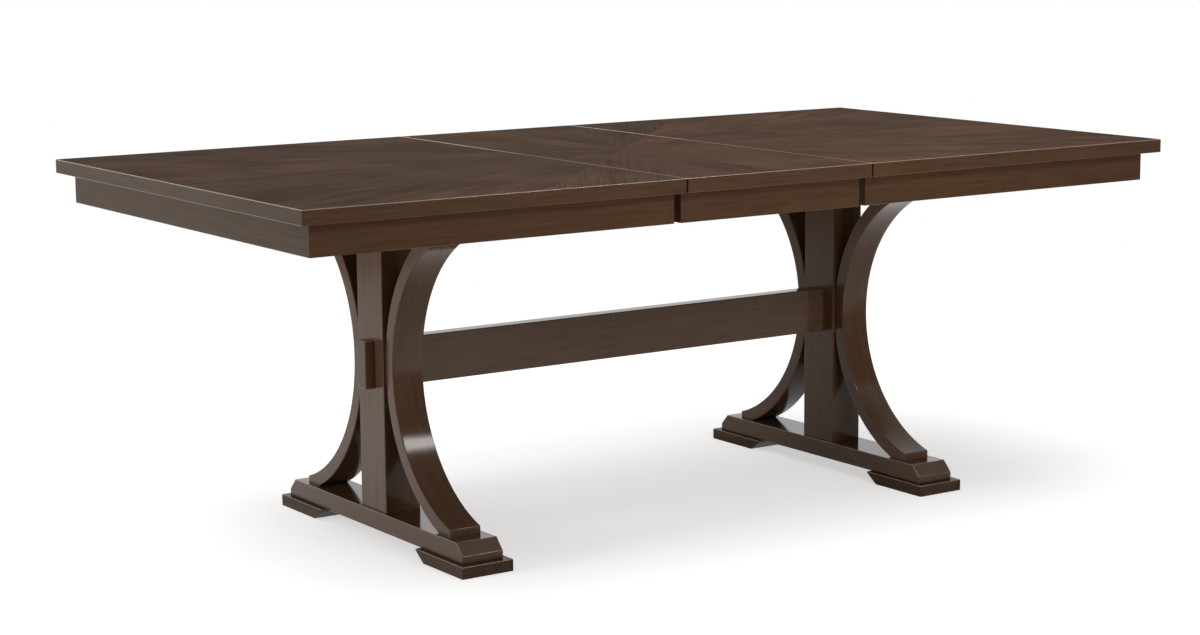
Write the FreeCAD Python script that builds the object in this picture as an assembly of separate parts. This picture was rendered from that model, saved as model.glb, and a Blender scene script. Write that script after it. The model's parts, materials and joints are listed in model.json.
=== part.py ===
import FreeCAD, Part
import math
import os

# Extending dining table on two pedestals, with its leaf in place.
# The origin is on the floor under the middle of the table. X runs along the table, Y across it
# with the front at -Y, and Z is up. Lengths are in millimetres.

# Whole table
table_height = 762.0
top_width = 1098.0
half_length = 823.5
leaf_length = 460.0
leaf_joint_gap = 0.5

# Running and seating clearances
overrun = 5.0
fit_clearance = 0.1
peg_clearance = 0.3
slide_clearance = 0.5
pivot_clearance = 0.08
lever_clearance = 0.3

# Top panels
top_thickness = 28.5
top_corner_radius = 3.0
top_edge_radius = 1.6
joint_edge_chamfer = 0.7

# Aprons under the panels
apron_height = 61.5
apron_thickness = 25.0
side_overhang = 32.0
end_overhang = 29.0
apron_joint_setback = 7.5
apron_edge_radius = 1.2

# Blocks glued behind the aprons
corner_block_leg = 64.0
corner_block_height = 46.0
glue_block_leg = 22.0
glue_block_length = 60.0
glue_blocks_per_side = 3
glue_block_spacing = 180.0

# Pedestals
pedestal_spacing = 1163.0
wood_edge_radius = 1.8

# Foot pads
pad_width = 116.0
pad_height = 24.0
pad_length = 189.0
pad_undercut = 33.0
pad_proud = 19.0
pad_screw_inset = 30.0
foot_length = 753.0

# Foot beams
beam_width = 93.0
beam_height = 38.5
beam_bevel_run = 22.5
beam_bevel_drop = 23.5

# Posts
post_width = 80.0
post_depth = 102.0

# Curved legs
leg_width = 70.0
leg_thickness = 30.0
leg_seat_depth = 1.5
leg_setback = 41.0
leg_tip_height = 15.0
leg_edge_radius = 2.2

# Cleats across the pedestals' heads
cleat_height = 36.0

# Stretcher and the tenon blocks outside the posts
stretcher_height = 98.0
stretcher_thickness = 34.0
tenon_block_length = 22.0

# Wooden slides
slide_height = 30.0
slide_headroom = 1.0
rail_end_margin = 5.5
rail_width = 44.0
slide_spacing = 460.0
runner_width = 32.0
runner_overlap = 60.0
runner_end_room = 28.5
dovetail_depth = 8.0
dovetail_root_height = 10.0
dovetail_tip_height = 15.0
slide_overtravel = 60.0

# Equaliser
bridge_width = 70.0
bridge_thickness = 12.0
gear_module = 2.0
gear_teeth = 16
gear_thickness = 14.0
gear_headroom = 4.0
gear_backlash = 0.4
pressure_angle = math.radians(20)
tip_share = 0.9
root_share = 1.25
hub_radius = 10.0
axle_radius = 4.0
axle_head_radius = 7.0
axle_head_height = 1.8
rack_back = 14.0
rack_mount_length = 170.0
rack_travel_margin = 6.0

# Alignment pegs in the halves' inner edges
peg_radius = 5.0
peg_length = 32.0
peg_reach = 12.0
peg_nose = 2.0
peg_setback = 40.0

# Leaf locks
lock_offset = 6.5
lock_plate_length = 38.0
lock_plate_width = 30.0
lock_plate_thickness = 2.5
lock_plate_setback = 2.0
lock_pivot_inset = 22.0
lock_arm = 40.0
lock_stud_radius = 4.0
lock_head_radius = 6.5
lock_head_height = 2.2
lever_thickness = 4.0
lever_width = 18.0
lever_lip = 7.0
lever_tail = 28.0
lever_end_radius = 6.0
lever_slot_angle = 30
catch_pin_radius = 3.0
catch_clearance = 0.6

# Wood screws
screw_head_radius = 4.8
screw_head_height = 3.0
screw_shank_radius = 2.4
screw_tip_height = 4.0
screw_socket_radius = 2.0
screw_socket_depth = 2.0
screw_bite = 14.0
screw_recess = 3.0
leg_screw_offset = 18.0
rail_screw_offset = 32.0
bridge_screw_offset = 25.0
runner_screw_count = 4
runner_screw_end = 70.0
rack_screw_count = 3
rack_screw_end = 30.0
plate_screw_offset = 13.0

# Lag bolts in the posts, and the stretcher's bolts with their barrel nuts
bolt_head_radius = 7.0
bolt_head_height = 6.0
bolt_shank_radius = 3.5
bolt_socket_radius = 3.0
bolt_socket_depth = 4.0
lag_bite = 60.0
lag_offset = 28.0
lag_recess = 12.0
stretcher_bolt_offset = 26.0
stretcher_bolt_recess = 9.0
stretcher_bolt_bite = 62.0
barrel_nut_radius = 6.0
barrel_nut_length = 22.0
barrel_nut_inset = 44.0

# Places along X
joint_x = leaf_length / 2 + leaf_joint_gap
end_x = joint_x + half_length
apron_x = end_x - end_overhang
apron_end_x = joint_x + apron_joint_setback
leaf_apron_x = leaf_length / 2 - apron_joint_setback
pedestal_x = pedestal_spacing / 2
post_outer_x = pedestal_x + post_width / 2
post_inner_x = pedestal_x - post_width / 2
lock_pivot_x = leaf_length / 2 - lock_pivot_inset

# Places along Y
side_y = top_width / 2
apron_y = side_y - side_overhang
slide_y = slide_spacing / 2
foot_y = foot_length / 2
beam_length = foot_length - 2 * pad_proud
leg_reach = beam_length / 2 - beam_bevel_run - leg_setback
runner_outer_y = slide_y + rail_width / 2 + slide_clearance + runner_width
lock_place = (runner_outer_y + apron_y - apron_thickness) / 2 + lock_offset
peg_spacing = lock_place - peg_setback

# Levels
top_under = table_height - top_thickness
apron_bottom = top_under - apron_height
beam_top = pad_height + beam_height
rail_bottom = top_under - slide_height
cleat_bottom = rail_bottom - cleat_height
leg_middle = (beam_top + cleat_bottom) / 2
slide_middle = rail_bottom + slide_height / 2
gear_top = top_under - gear_headroom
gear_bottom = gear_top - gear_thickness
hub_height = gear_bottom - rail_bottom
peg_level = top_under + top_thickness / 2
plate_bottom = top_under - lock_plate_thickness
lever_top = plate_bottom - lever_clearance
lever_bottom = lever_top - lever_thickness

# Gear sizes
pitch_radius = gear_module * gear_teeth / 2
tooth_pitch = math.pi * gear_module
tip_height = gear_module * tip_share
root_depth = gear_module * root_share

# Curved legs' faces: an arc from tip to tip that passes in front of the post
leg_face_y = post_depth / 2 - leg_seat_depth + leg_thickness
leg_face_rise = leg_middle - beam_top - leg_tip_height
leg_hollow_depth = leg_reach - leg_face_y
leg_face_radius = (leg_face_rise ** 2 + leg_hollow_depth ** 2) / (2 * leg_hollow_depth)
leg_back_radius = leg_face_radius + leg_thickness
leg_centre_y = leg_face_y + leg_face_radius
leg_heel_y = leg_centre_y - math.sqrt(leg_back_radius ** 2 - (leg_middle - beam_top) ** 2)

# Directions
ORIGIN = FreeCAD.Vector(0, 0, 0)
ALONG = FreeCAD.Vector(1, 0, 0)
ACROSS = FreeCAD.Vector(0, 1, 0)
UP = FreeCAD.Vector(0, 0, 1)
DOWN = FreeCAD.Vector(0, 0, -1)

parts = {}


def keep(name, *solids):
    """Files the solids of one node under its name."""
    parts[name] = solids


def keep_ends(name, *solids):
    """Files a piece of the left end, and the same piece turned half round for the right end."""
    opposite = {"front": "rear", "rear": "front"}
    keep("left_" + name, *solids)
    keep("right_" + "_".join(opposite.get(word, word) for word in name.split("_")),
         *[half_turned(solid) for solid in solids])


def point(x, y, z):
    return FreeCAD.Vector(x, y, z)


def half_turned(shape):
    """A copy turned half round about the table's upright middle line."""
    return shape.copy().rotate(ORIGIN, UP, 180)


def reflected(shape, normal):
    """A copy on the other side of the middle plane that has this normal."""
    return shape.mirror(ORIGIN, normal)


def box(x, y, z):
    """Box between the two values given for each axis."""
    low = point(min(x), min(y), min(z))
    return Part.makeBox(max(x) - low.x, max(y) - low.y, max(z) - low.z, low)


def prism(outline, along):
    """Solid swept from a closed outline of points along a vector."""
    return Part.Face(Part.makePolygon(outline + outline[:1])).extrude(along)


def board(outline, middle, width):
    """Board drawn in the YZ plane, with its width along X about a middle."""
    return prism([point(middle - width / 2, y, z) for y, z in outline], ALONG * width)


def upright(outline, bottom, top):
    """Piece drawn in plan, between two levels."""
    return prism([point(x, y, bottom) for x, y in outline], UP * (top - bottom))


def turning(outline):
    """Solid turned about the Z axis from radius and height pairs."""
    corners = [point(radius, 0, height) for radius, height in outline]
    return Part.Face(Part.makePolygon(corners + corners[:1])).revolve(ORIGIN, UP, 360)


def rod(centre, radius, along):
    """Round bar from the centre of one end along a vector."""
    return Part.makeCylinder(radius, along.Length, centre, along)


def ease(solid, radius, chosen=None):
    """Rounds the chosen edges, or all of them."""
    return solid.makeFillet(radius, [edge for edge in solid.Edges if chosen is None or chosen(edge)])


def lies_at(edge, axis, value):
    """Tells whether an edge lies wholly at a value along an axis."""
    spread = [vertex.Point[axis] for vertex in edge.Vertexes]
    return all(abs(place - value) < fit_clearance for place in spread)


def runs_along(edge, axis):
    """Tells whether a straight edge runs along an axis."""
    span = edge.Vertexes[-1].Point - edge.Vertexes[0].Point
    return abs(span[axis]) > span.Length - fit_clearance


def steps(first, last, count):
    """Evenly spaced places from the first to the last."""
    return [first + (last - first) * k / (count - 1) for k in range(count)]


# Fasteners are drawn with the outer face of the head at the origin, driven along +Z.


class Fixing:
    """A kind of fastener, the room that it needs in the wood, and the places where it is driven."""

    def __init__(self, solid, room):
        self.solid = solid
        self.room = room
        self.spots = []

    def drive(self, place, direction):
        self.spots.append(FreeCAD.Placement(place, FreeCAD.Rotation(UP, direction)))

    def laid_out(self, shape):
        return [shape.transformed(spot.toMatrix()) for spot in self.spots]

    def pieces(self):
        return self.laid_out(self.solid)

    def holes(self):
        return self.laid_out(self.room)


def hexagonal_socket(radius, depth):
    """Key socket, open at the head's outer face."""
    turns = [math.pi * k / 3 for k in range(6)]
    corners = [point(radius * math.cos(turn), radius * math.sin(turn), 0) for turn in turns]
    return prism(corners, UP * depth)


def screws(length, recess):
    """Countersunk wood screws, their heads sunk by a recess."""
    neck = screw_head_height
    body = turning([(0, 0), (screw_head_radius, 0), (screw_shank_radius, neck),
                    (screw_shank_radius, length - screw_tip_height), (0, length)])
    head = screw_head_radius + fit_clearance
    shank = screw_shank_radius + fit_clearance
    end = length + fit_clearance
    mouth = -recess - overrun
    room = turning([(0, mouth), (head, mouth), (head, 0), (shank, neck), (shank, end), (0, end)])
    return Fixing(body.cut(hexagonal_socket(screw_socket_radius, screw_socket_depth)), room)


def bolts(length, recess):
    """Socket-headed bolts, their heads sunk by a recess."""
    neck = bolt_head_height
    body = turning([(0, 0), (bolt_head_radius, 0), (bolt_head_radius, neck), (bolt_shank_radius, neck),
                    (bolt_shank_radius, length), (0, length)])
    head = bolt_head_radius + fit_clearance
    shank = bolt_shank_radius + fit_clearance
    end = length + fit_clearance
    mouth = -recess - overrun
    room = turning([(0, mouth), (head, mouth), (head, neck), (shank, neck), (shank, end), (0, end)])
    return Fixing(body.cut(hexagonal_socket(bolt_socket_radius, bolt_socket_depth)), room)


def bored(solid, *fixings):
    """A piece with the holes of the fasteners that reach it."""
    holes = [hole for fixing in fixings for hole in fixing.holes()]
    near = [hole for hole in holes if hole.BoundBox.intersect(solid.BoundBox)]
    return solid.cut(near) if near else solid


# Fasteners of the base

pad_screws = screws(pad_height - screw_recess + screw_bite, screw_recess)
foot_screws = screws(beam_height - screw_recess + screw_bite, screw_recess)
head_screws = screws(cleat_height - screw_recess + screw_bite, screw_recess)
foot_lags = bolts(beam_height - lag_recess + lag_bite, lag_recess)
head_lags = bolts(cleat_height - lag_recess + lag_bite, lag_recess)
stretcher_bolts = bolts(post_width - stretcher_bolt_recess + stretcher_bolt_bite, stretcher_bolt_recess)
rail_screws = screws(slide_height - slide_headroom - screw_recess + screw_bite, screw_recess)
bridge_screws = screws(bridge_thickness - screw_recess + screw_bite, screw_recess)

pad_screw_places = (foot_y - pad_length + pad_undercut + pad_screw_inset, foot_y - pad_screw_inset)
leg_screw_y = (leg_reach + leg_heel_y) / 2
for end in (-1, 1):
    for side in (-1, 1):
        for place in pad_screw_places:
            pad_screws.drive(point(end * pedestal_x, side * place, screw_recess), UP)
        for offset in (-leg_screw_offset, leg_screw_offset):
            screw_x = end * pedestal_x + offset
            foot_screws.drive(point(screw_x, side * leg_screw_y, pad_height + screw_recess), UP)
            head_screws.drive(point(screw_x, side * leg_screw_y, rail_bottom - screw_recess), DOWN)
        foot_lags.drive(point(end * pedestal_x, side * lag_offset, pad_height + lag_recess), UP)
        head_lags.drive(point(end * pedestal_x, side * lag_offset, rail_bottom - lag_recess), DOWN)
        bolt_level = leg_middle + side * stretcher_bolt_offset
        bolt_start = point(end * (post_outer_x - stretcher_bolt_recess), 0, bolt_level)
        stretcher_bolts.drive(bolt_start, ALONG * -end)
        for offset in (-rail_screw_offset, rail_screw_offset):
            rail_top_level = top_under - slide_headroom - screw_recess
            rail_screws.drive(point(end * pedestal_x + offset, side * slide_y, rail_top_level), DOWN)
for side in (-1, 1):
    for offset in (-bridge_screw_offset, bridge_screw_offset):
        bridge_screw_level = rail_bottom - bridge_thickness + screw_recess
        bridge_screws.drive(point(offset, side * slide_y, bridge_screw_level), UP)

keep("foot_pad_screws", *pad_screws.pieces())
keep("leg_screws", *foot_screws.pieces(), *head_screws.pieces())
keep("post_lag_bolts", *foot_lags.pieces(), *head_lags.pieces())
keep("stretcher_bolts", *stretcher_bolts.pieces())
keep("rail_screws", *rail_screws.pieces(), *bridge_screws.pieces())


# Pedestals


def foot_pad():
    """Front foot pad, undercut at its inner end and sharp along the floor."""
    inner = foot_y - pad_length
    outline = [(-foot_y, 0), (-inner - pad_undercut, 0), (-inner, pad_height), (-foot_y, pad_height)]
    solid = board(outline, -pedestal_x, pad_width)
    return ease(solid, wood_edge_radius, lambda edge: not lies_at(edge, 2, 0))


def cross_beam(square_level, bevelled_level):
    """Beam across a pedestal: square at one level, its ends bevelled to the other."""
    reach = beam_length / 2
    shoulder = bevelled_level + math.copysign(beam_bevel_drop, square_level - bevelled_level)
    flat_reach = reach - beam_bevel_run
    outline = [(-reach, square_level), (reach, square_level), (reach, shoulder),
               (flat_reach, bevelled_level), (-flat_reach, bevelled_level), (-reach, shoulder)]
    return ease(board(outline, -pedestal_x, beam_width), wood_edge_radius)


def post():
    """Square post with eased long edges."""
    half = post_depth / 2
    solid = box((-post_outer_x, -post_inner_x), (-half, half), (beam_top, cleat_bottom))
    return ease(solid, wood_edge_radius, lambda edge: runs_along(edge, 2))


def leg():
    """Front leg: a board between two arcs about one centre, seated on the post and square at its ends."""
    bottom = beam_top - overrun
    top = cleat_bottom + overrun
    back_y = math.sqrt(leg_back_radius ** 2 - (top - leg_middle) ** 2) - leg_centre_y

    def at(y, z):
        return point(-pedestal_x - leg_width / 2, y, z)

    face_foot = at(-leg_reach, leg_middle - leg_face_rise)
    face_head = at(-leg_reach, leg_middle + leg_face_rise)
    face = Part.Arc(face_foot, at(-leg_face_y, leg_middle), face_head)
    back = Part.Arc(at(back_y, top), at(leg_thickness - leg_face_y, leg_middle), at(back_y, bottom))
    foot = Part.makePolygon([at(back_y, bottom), at(-leg_reach, bottom), face_foot])
    head = Part.makePolygon([face_head, at(-leg_reach, top), at(back_y, top)])
    outline = Part.Wire([*foot.Edges, face.toShape(), *head.Edges, back.toShape()])
    solid = Part.Face(outline).extrude(ALONG * leg_width)
    solid = ease(solid, leg_edge_radius,
                 lambda edge: not (lies_at(edge, 2, bottom) or lies_at(edge, 2, top)))
    span = (-pedestal_x - leg_width, leg_width - pedestal_x)
    return solid.common(box(span, (-foot_y, -post_depth / 2), (beam_top, cleat_bottom)))


for name, piece in (("foot_pad", foot_pad()), ("leg", leg())):
    fixings = (pad_screws, foot_screws, head_screws)
    keep_ends("front_" + name, bored(piece, *fixings))
    keep_ends("rear_" + name, bored(reflected(piece, ACROSS), *fixings))
keep_ends("foot_beam", bored(cross_beam(pad_height, beam_top), pad_screws, foot_screws, foot_lags))
keep_ends("top_cleat", bored(cross_beam(rail_bottom, cleat_bottom), head_screws, head_lags, rail_screws))
keep_ends("post", bored(post(), foot_lags, head_lags, stretcher_bolts))


# Stretcher, held by bolts in barrel nuts, and the blocks that cover the bolts' heads

stretcher_section = ((-stretcher_thickness / 2, stretcher_thickness / 2),
                     (leg_middle - stretcher_height / 2, leg_middle + stretcher_height / 2))
nuts = []
nut_rooms = []
for end in (-1, 1):
    for side in (-1, 1):
        nut_x = end * (post_inner_x - barrel_nut_inset)
        start = point(nut_x, -barrel_nut_length / 2, leg_middle + side * stretcher_bolt_offset)
        nuts.append(bored(rod(start, barrel_nut_radius, ACROSS * barrel_nut_length), stretcher_bolts))
        room_length = barrel_nut_length / 2 + fit_clearance + stretcher_thickness / 2 + overrun
        room_start = start - ACROSS * fit_clearance
        nut_rooms.append(rod(room_start, barrel_nut_radius + fit_clearance, ACROSS * room_length))
stretcher = ease(box((-post_inner_x, post_inner_x), *stretcher_section), wood_edge_radius,
                 lambda edge: runs_along(edge, 0))
keep("stretcher", bored(stretcher, stretcher_bolts).cut(nut_rooms))
keep("barrel_nuts", *nuts)
tenon_block = box((-post_outer_x - tenon_block_length, -post_outer_x), *stretcher_section)
tenon_block = ease(tenon_block, wood_edge_radius, lambda edge: not lies_at(edge, 0, -post_outer_x))
keep_ends("tenon_block", tenon_block)


# Slides: fixed rails with a dovetail tongue down each side, and runners that wrap the tongues


def tongue(side, grow):
    """Section of the tongue on one side of a rail, from its lower root to its upper root."""
    root = dovetail_root_height / 2 + grow
    tip = dovetail_tip_height / 2 + grow
    near = side * rail_width / 2
    far = side * (rail_width / 2 + dovetail_depth + grow)
    return [(near, slide_middle - root), (far, slide_middle - tip),
            (far, slide_middle + tip), (near, slide_middle + root)]


def rail():
    """Centre rail about the middle plane."""
    half, top = rail_width / 2, top_under - slide_headroom
    section = [(-half, rail_bottom), (half, rail_bottom), *tongue(1, 0),
               (half, top), (-half, top), *reversed(tongue(-1, 0))]
    return board(section, 0, pedestal_spacing + beam_width + 2 * rail_end_margin)


def runner():
    """Left end's runner for a rail on the middle plane, on the rail's front side."""
    face = -rail_width / 2 - slide_clearance
    outer_end = -apron_x + apron_thickness + runner_end_room
    bottom = rail_bottom + slide_headroom
    solid = box((outer_end, runner_overlap), (face - runner_width, face), (bottom, top_under))
    solid = ease(solid, wood_edge_radius, lambda edge: not lies_at(edge, 2, top_under))
    groove_length = runner_overlap - outer_end + 2 * overrun
    groove = board(tongue(-1, slide_clearance), (outer_end + runner_overlap) / 2, groove_length)
    return solid.cut(groove)


def moved(shape, y):
    """A copy shifted across the table."""
    return shape.translated(ACROSS * y)


keep("front_centre_rail", bored(moved(rail(), -slide_y), rail_screws, bridge_screws))
keep("rear_centre_rail", bored(moved(rail(), slide_y), rail_screws, bridge_screws))


# Equaliser: a pinion between two racks, so that both halves move alike


def pinion():
    """Pinion with a tooth on +Y, its flanks an arc each through the base, pitch and tip circles."""
    base = pitch_radius * math.cos(pressure_angle)
    tip = pitch_radius + gear_module
    root = pitch_radius - root_depth
    thickness_angle = (tooth_pitch - gear_backlash) / (4 * pitch_radius)

    def flank_angle(radius):
        slope = math.acos(base / radius)
        return thickness_angle + math.tan(pressure_angle) - pressure_angle - math.tan(slope) + slope

    def at(radius, angle):
        return point(radius * math.sin(angle), radius * math.cos(angle), gear_bottom)

    edges = []
    step = 2 * math.pi / gear_teeth
    for k in range(gear_teeth):
        axis = k * step
        foot, tip_angle = flank_angle(base), flank_angle(tip)
        corners = [at(root, axis - foot), at(base, axis - foot), at(tip, axis - tip_angle),
                   at(tip, axis + tip_angle), at(base, axis + foot), at(root, axis + foot)]
        next_root = at(root, axis + step - foot)
        edges += [
            Part.LineSegment(corners[0], corners[1]),
            Part.Arc(corners[1], at(pitch_radius, axis - thickness_angle), corners[2]),
            Part.Arc(corners[2], at(tip, axis), corners[3]),
            Part.Arc(corners[3], at(pitch_radius, axis + thickness_angle), corners[4]),
            Part.LineSegment(corners[4], corners[5]),
            Part.Arc(corners[5], at(root, axis + step / 2), next_root),
        ]
    toothed = Part.Face(Part.Wire([edge.toShape() for edge in edges])).extrude(UP * gear_thickness)
    hub = rod(point(0, 0, rail_bottom), hub_radius, UP * hub_height)
    bore_length = hub_height + gear_thickness
    bore = rod(point(0, 0, rail_bottom), axle_radius + pivot_clearance, UP * bore_length)
    return toothed.fuse(hub).removeSplitter().cut(bore)


def rack():
    """Left end's rack: straight teeth behind the pinion, and a thick end under the panel."""
    pitch_y = pitch_radius
    half_thickness = (tooth_pitch - gear_backlash) / 4
    lean = math.tan(pressure_angle)
    tip_half = half_thickness - lean * tip_height
    root_half = half_thickness + lean * root_depth
    inward = math.ceil((leaf_length / 2 + rack_travel_margin) / tooth_pitch)
    outward = math.ceil((slide_overtravel + rack_travel_margin) / tooth_pitch)
    mount_end = -inward * tooth_pitch
    root_y, tip_y, back_y = pitch_y + root_depth, pitch_y - tip_height, pitch_y + root_depth + rack_back
    outline = [(mount_end, root_y)]
    for k in range(-inward, outward):
        middle = (k + 1 / 2) * tooth_pitch
        outline += [(middle - root_half, root_y), (middle - tip_half, tip_y),
                    (middle + tip_half, tip_y), (middle + root_half, root_y)]
    outline += [(outward * tooth_pitch, root_y), (outward * tooth_pitch, back_y), (mount_end, back_y)]
    toothed = upright(outline, gear_bottom, gear_top)
    mount = box((mount_end - rack_mount_length, mount_end), (root_y, back_y), (gear_bottom, top_under))
    return toothed.fuse(mount).removeSplitter(), mount_end


bridge_reach = slide_y + rail_width / 2
bridge_bottom = rail_bottom - bridge_thickness
bridge = box((-bridge_width / 2, bridge_width / 2), (-bridge_reach, bridge_reach),
             (bridge_bottom, rail_bottom))
bridge = ease(bridge, wood_edge_radius, lambda edge: lies_at(edge, 2, bridge_bottom))
axle_length = bridge_thickness + hub_height + gear_thickness + lever_clearance
axle_start = point(0, 0, bridge_bottom)
axle_room = rod(axle_start, axle_radius + fit_clearance, UP * axle_length)
keep("equaliser_bridge", bored(bridge, bridge_screws).cut(axle_room))
axle_head = rod(axle_start + UP * axle_length, axle_head_radius, UP * axle_head_height)
keep("pinion_axle", rod(axle_start, axle_radius, UP * axle_length).fuse(axle_head).removeSplitter())
keep("equaliser_pinion", pinion())


# Halves of the top

left_rack, rack_mount_end = rack()
runner_screws = screws(top_under - rail_bottom - slide_headroom - screw_recess + screw_bite, screw_recess)
rack_screws = screws(top_under - gear_bottom - screw_recess + screw_bite, screw_recess)
plate_screws = screws(lock_plate_thickness + screw_bite, 0)

groove_y = rail_width / 2 + dovetail_depth + 2 * slide_clearance
runner_screw_y = groove_y + (runner_width - dovetail_depth) / 2
runner_outer_x = apron_x - apron_thickness - runner_end_room
for side in (-1, 1):
    for x in steps(-runner_outer_x + runner_screw_end, -joint_x - runner_screw_end, runner_screw_count):
        start = point(x, side * slide_y - runner_screw_y, rail_bottom + slide_headroom + screw_recess)
        runner_screws.drive(start, UP)
rack_screw_y = pitch_radius + root_depth + rack_back / 2
first_rack_screw = rack_mount_end - rack_mount_length + rack_screw_end
for x in steps(first_rack_screw, rack_mount_end - rack_screw_end, rack_screw_count):
    rack_screws.drive(point(x, rack_screw_y, gear_bottom + screw_recess), UP)

catch_plate_x = joint_x + lock_plate_setback + lock_plate_length / 2
for side in (-1, 1):
    for offset in (-plate_screw_offset, plate_screw_offset):
        plate_screws.drive(point(-catch_plate_x + offset, side * lock_place, plate_bottom), UP)


def peg(side_place):
    """Alignment peg in the left half's inner edge, its nose chamfered."""
    outer_end = peg_reach - joint_x
    start = point(outer_end - peg_length, side_place, peg_level)
    bar = rod(start, peg_radius, ALONG * peg_length)
    return bar.makeChamfer(peg_nose, [edge for edge in bar.Edges if lies_at(edge, 0, outer_end)])


def half_panel():
    """Left half's panel, with rounded outer edges and a small chamfer along the joint."""
    solid = box((-end_x, -joint_x), (-side_y, side_y), (top_under, table_height))
    solid = ease(solid, top_corner_radius, lambda edge: runs_along(edge, 2) and lies_at(edge, 0, -end_x))
    solid = ease(solid, top_edge_radius,
                 lambda edge: not (runs_along(edge, 2) or lies_at(edge, 0, -joint_x)))
    top_edges = [edge for edge in solid.Edges if lies_at(edge, 2, table_height)]
    joint_edges = [edge for edge in top_edges if lies_at(edge, 0, -joint_x)]
    return solid.makeChamfer(joint_edge_chamfer, joint_edges)


def side_apron():
    """Left half's front apron, mitred at its outer end."""
    inner_y = apron_thickness - apron_y
    outline = [(-apron_x, -apron_y), (-apron_end_x, -apron_y),
               (-apron_end_x, inner_y), (apron_thickness - apron_x, inner_y)]
    solid = upright(outline, apron_bottom, top_under)

    def chosen(edge):
        lower = runs_along(edge, 0) and lies_at(edge, 2, apron_bottom)
        return lower or runs_along(edge, 2) and lies_at(edge, 0, -apron_end_x)

    return ease(solid, apron_edge_radius, chosen)


def end_apron():
    """Left half's end apron, mitred at both ends."""
    inner_x, inner_y = apron_thickness - apron_x, apron_y - apron_thickness
    outline = [(-apron_x, -apron_y), (inner_x, -inner_y), (inner_x, inner_y), (-apron_x, apron_y)]
    solid = upright(outline, apron_bottom, top_under)
    return ease(solid, apron_edge_radius,
                lambda edge: runs_along(edge, 1) and lies_at(edge, 2, apron_bottom))


def glue_block(x):
    """Triangular block in the angle between the front apron and the panel."""
    inner_y = apron_thickness - apron_y
    outline = [(inner_y, top_under), (inner_y + glue_block_leg, top_under),
               (inner_y, top_under - glue_block_leg)]
    return board(outline, x, glue_block_length)


def corner_block():
    """Upright triangular block in the left half's front corner."""
    x, y = apron_thickness - apron_x, apron_thickness - apron_y
    outline = [(x, y), (x + corner_block_leg, y), (x, y + corner_block_leg)]
    return upright(outline, top_under - corner_block_height, top_under)


def end_glue_block(y):
    """Triangular block behind the end apron."""
    x, z = apron_thickness - apron_x, top_under
    outline = [point(x, y, z), point(x + glue_block_leg, y, z), point(x, y, z - glue_block_leg)]
    return prism(outline, ACROSS * glue_block_length)


peg_places = (-peg_spacing, 0, peg_spacing)
peg_rooms = []
for place in peg_places:
    peg_start = point(peg_reach - joint_x - peg_length, place, peg_level)
    peg_rooms.append(rod(peg_start, peg_radius + fit_clearance, ALONG * peg_length))
keep_ends("top_panel", bored(half_panel(), runner_screws, rack_screws, plate_screws).cut(peg_rooms))
keep_ends("front_apron", side_apron())
keep_ends("rear_apron", reflected(side_apron(), ACROSS))
keep_ends("end_apron", end_apron())
middle_x = (apron_end_x + apron_x) / 2
reach_x = glue_block_spacing * (glue_blocks_per_side - 1) / 2
block_places = steps(-middle_x - reach_x, reach_x - middle_x, glue_blocks_per_side)
front_blocks = [corner_block(), *[glue_block(x) for x in block_places]]
rear_blocks = [reflected(block, ACROSS) for block in front_blocks]
end_blocks = [end_glue_block(-glue_block_length * 2), end_glue_block(glue_block_length)]
keep_ends("apron_blocks", *front_blocks, *rear_blocks, *end_blocks)
keep_ends("front_runner", bored(moved(runner(), -slide_y), runner_screws))
keep_ends("rear_runner", bored(moved(runner(), slide_y), runner_screws))
keep_ends("rack", bored(left_rack, rack_screws))
keep_ends("slide_screws", *runner_screws.pieces(), *rack_screws.pieces(), *plate_screws.pieces())
keep_ends("alignment_pegs", *[peg(place) for place in peg_places])


# Leaf locks: a lever turns on a stud under the leaf and hooks the pin under a half


def lock_plate(middle_x, stud_x, stud_radius, stud_bottom):
    """Front left plate with a stud hanging from it."""
    reach, half_width = lock_plate_length / 2, lock_plate_width / 2
    plate = box((middle_x - reach, middle_x + reach),
                (-lock_place - half_width, half_width - lock_place), (plate_bottom, top_under))
    stud = rod(point(stud_x, -lock_place, stud_bottom), stud_radius, UP * (top_under - stud_bottom))
    return plate.fuse(stud)


def lever():
    """Front left lever, open: its arm points to the table's middle line and its slot faces the joint."""
    pivot = point(-lock_pivot_x, -lock_place, lever_bottom)
    reach = lock_arm + catch_pin_radius + catch_clearance + lever_lip
    half = lever_width / 2
    tail_y = -lock_place - lever_tail
    bar = box((-lock_pivot_x - half, half - lock_pivot_x), (tail_y, reach - lock_place),
              (lever_bottom, lever_top))
    bar = ease(bar, lever_end_radius, lambda edge: runs_along(edge, 2) and lies_at(edge, 1, tail_y))
    bar = bar.common(rod(pivot, reach, UP * lever_thickness))
    room = catch_pin_radius + catch_clearance
    slot = Part.makeCylinder(lock_arm + room, lever_thickness, pivot, UP, lever_slot_angle)
    slot = slot.cut(rod(pivot, lock_arm - room, UP * lever_thickness))
    slot.rotate(pivot, UP, 90)
    seat = rod(pivot + ACROSS * lock_arm, room, UP * lever_thickness)
    bore = rod(pivot, lock_stud_radius + pivot_clearance, UP * lever_thickness)
    return bar.cut([slot, seat, bore])


stud_head_top = lever_bottom - lever_clearance
stud_bottom = stud_head_top - lock_head_height
catch_x = lock_pivot_x + lock_arm
stud_head = rod(point(-lock_pivot_x, -lock_place, stud_bottom), lock_head_radius, UP * lock_head_height)
leaf_plate = lock_plate(-lock_pivot_x, -lock_pivot_x, lock_stud_radius, stud_bottom).fuse(stud_head)
catch = lock_plate(-catch_plate_x, -catch_x, catch_pin_radius, stud_head_top)
catches = [bored(plate, plate_screws) for plate in (catch, reflected(catch, ACROSS))]
keep_ends("lock_catches", *[plate.removeSplitter() for plate in catches])

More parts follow.
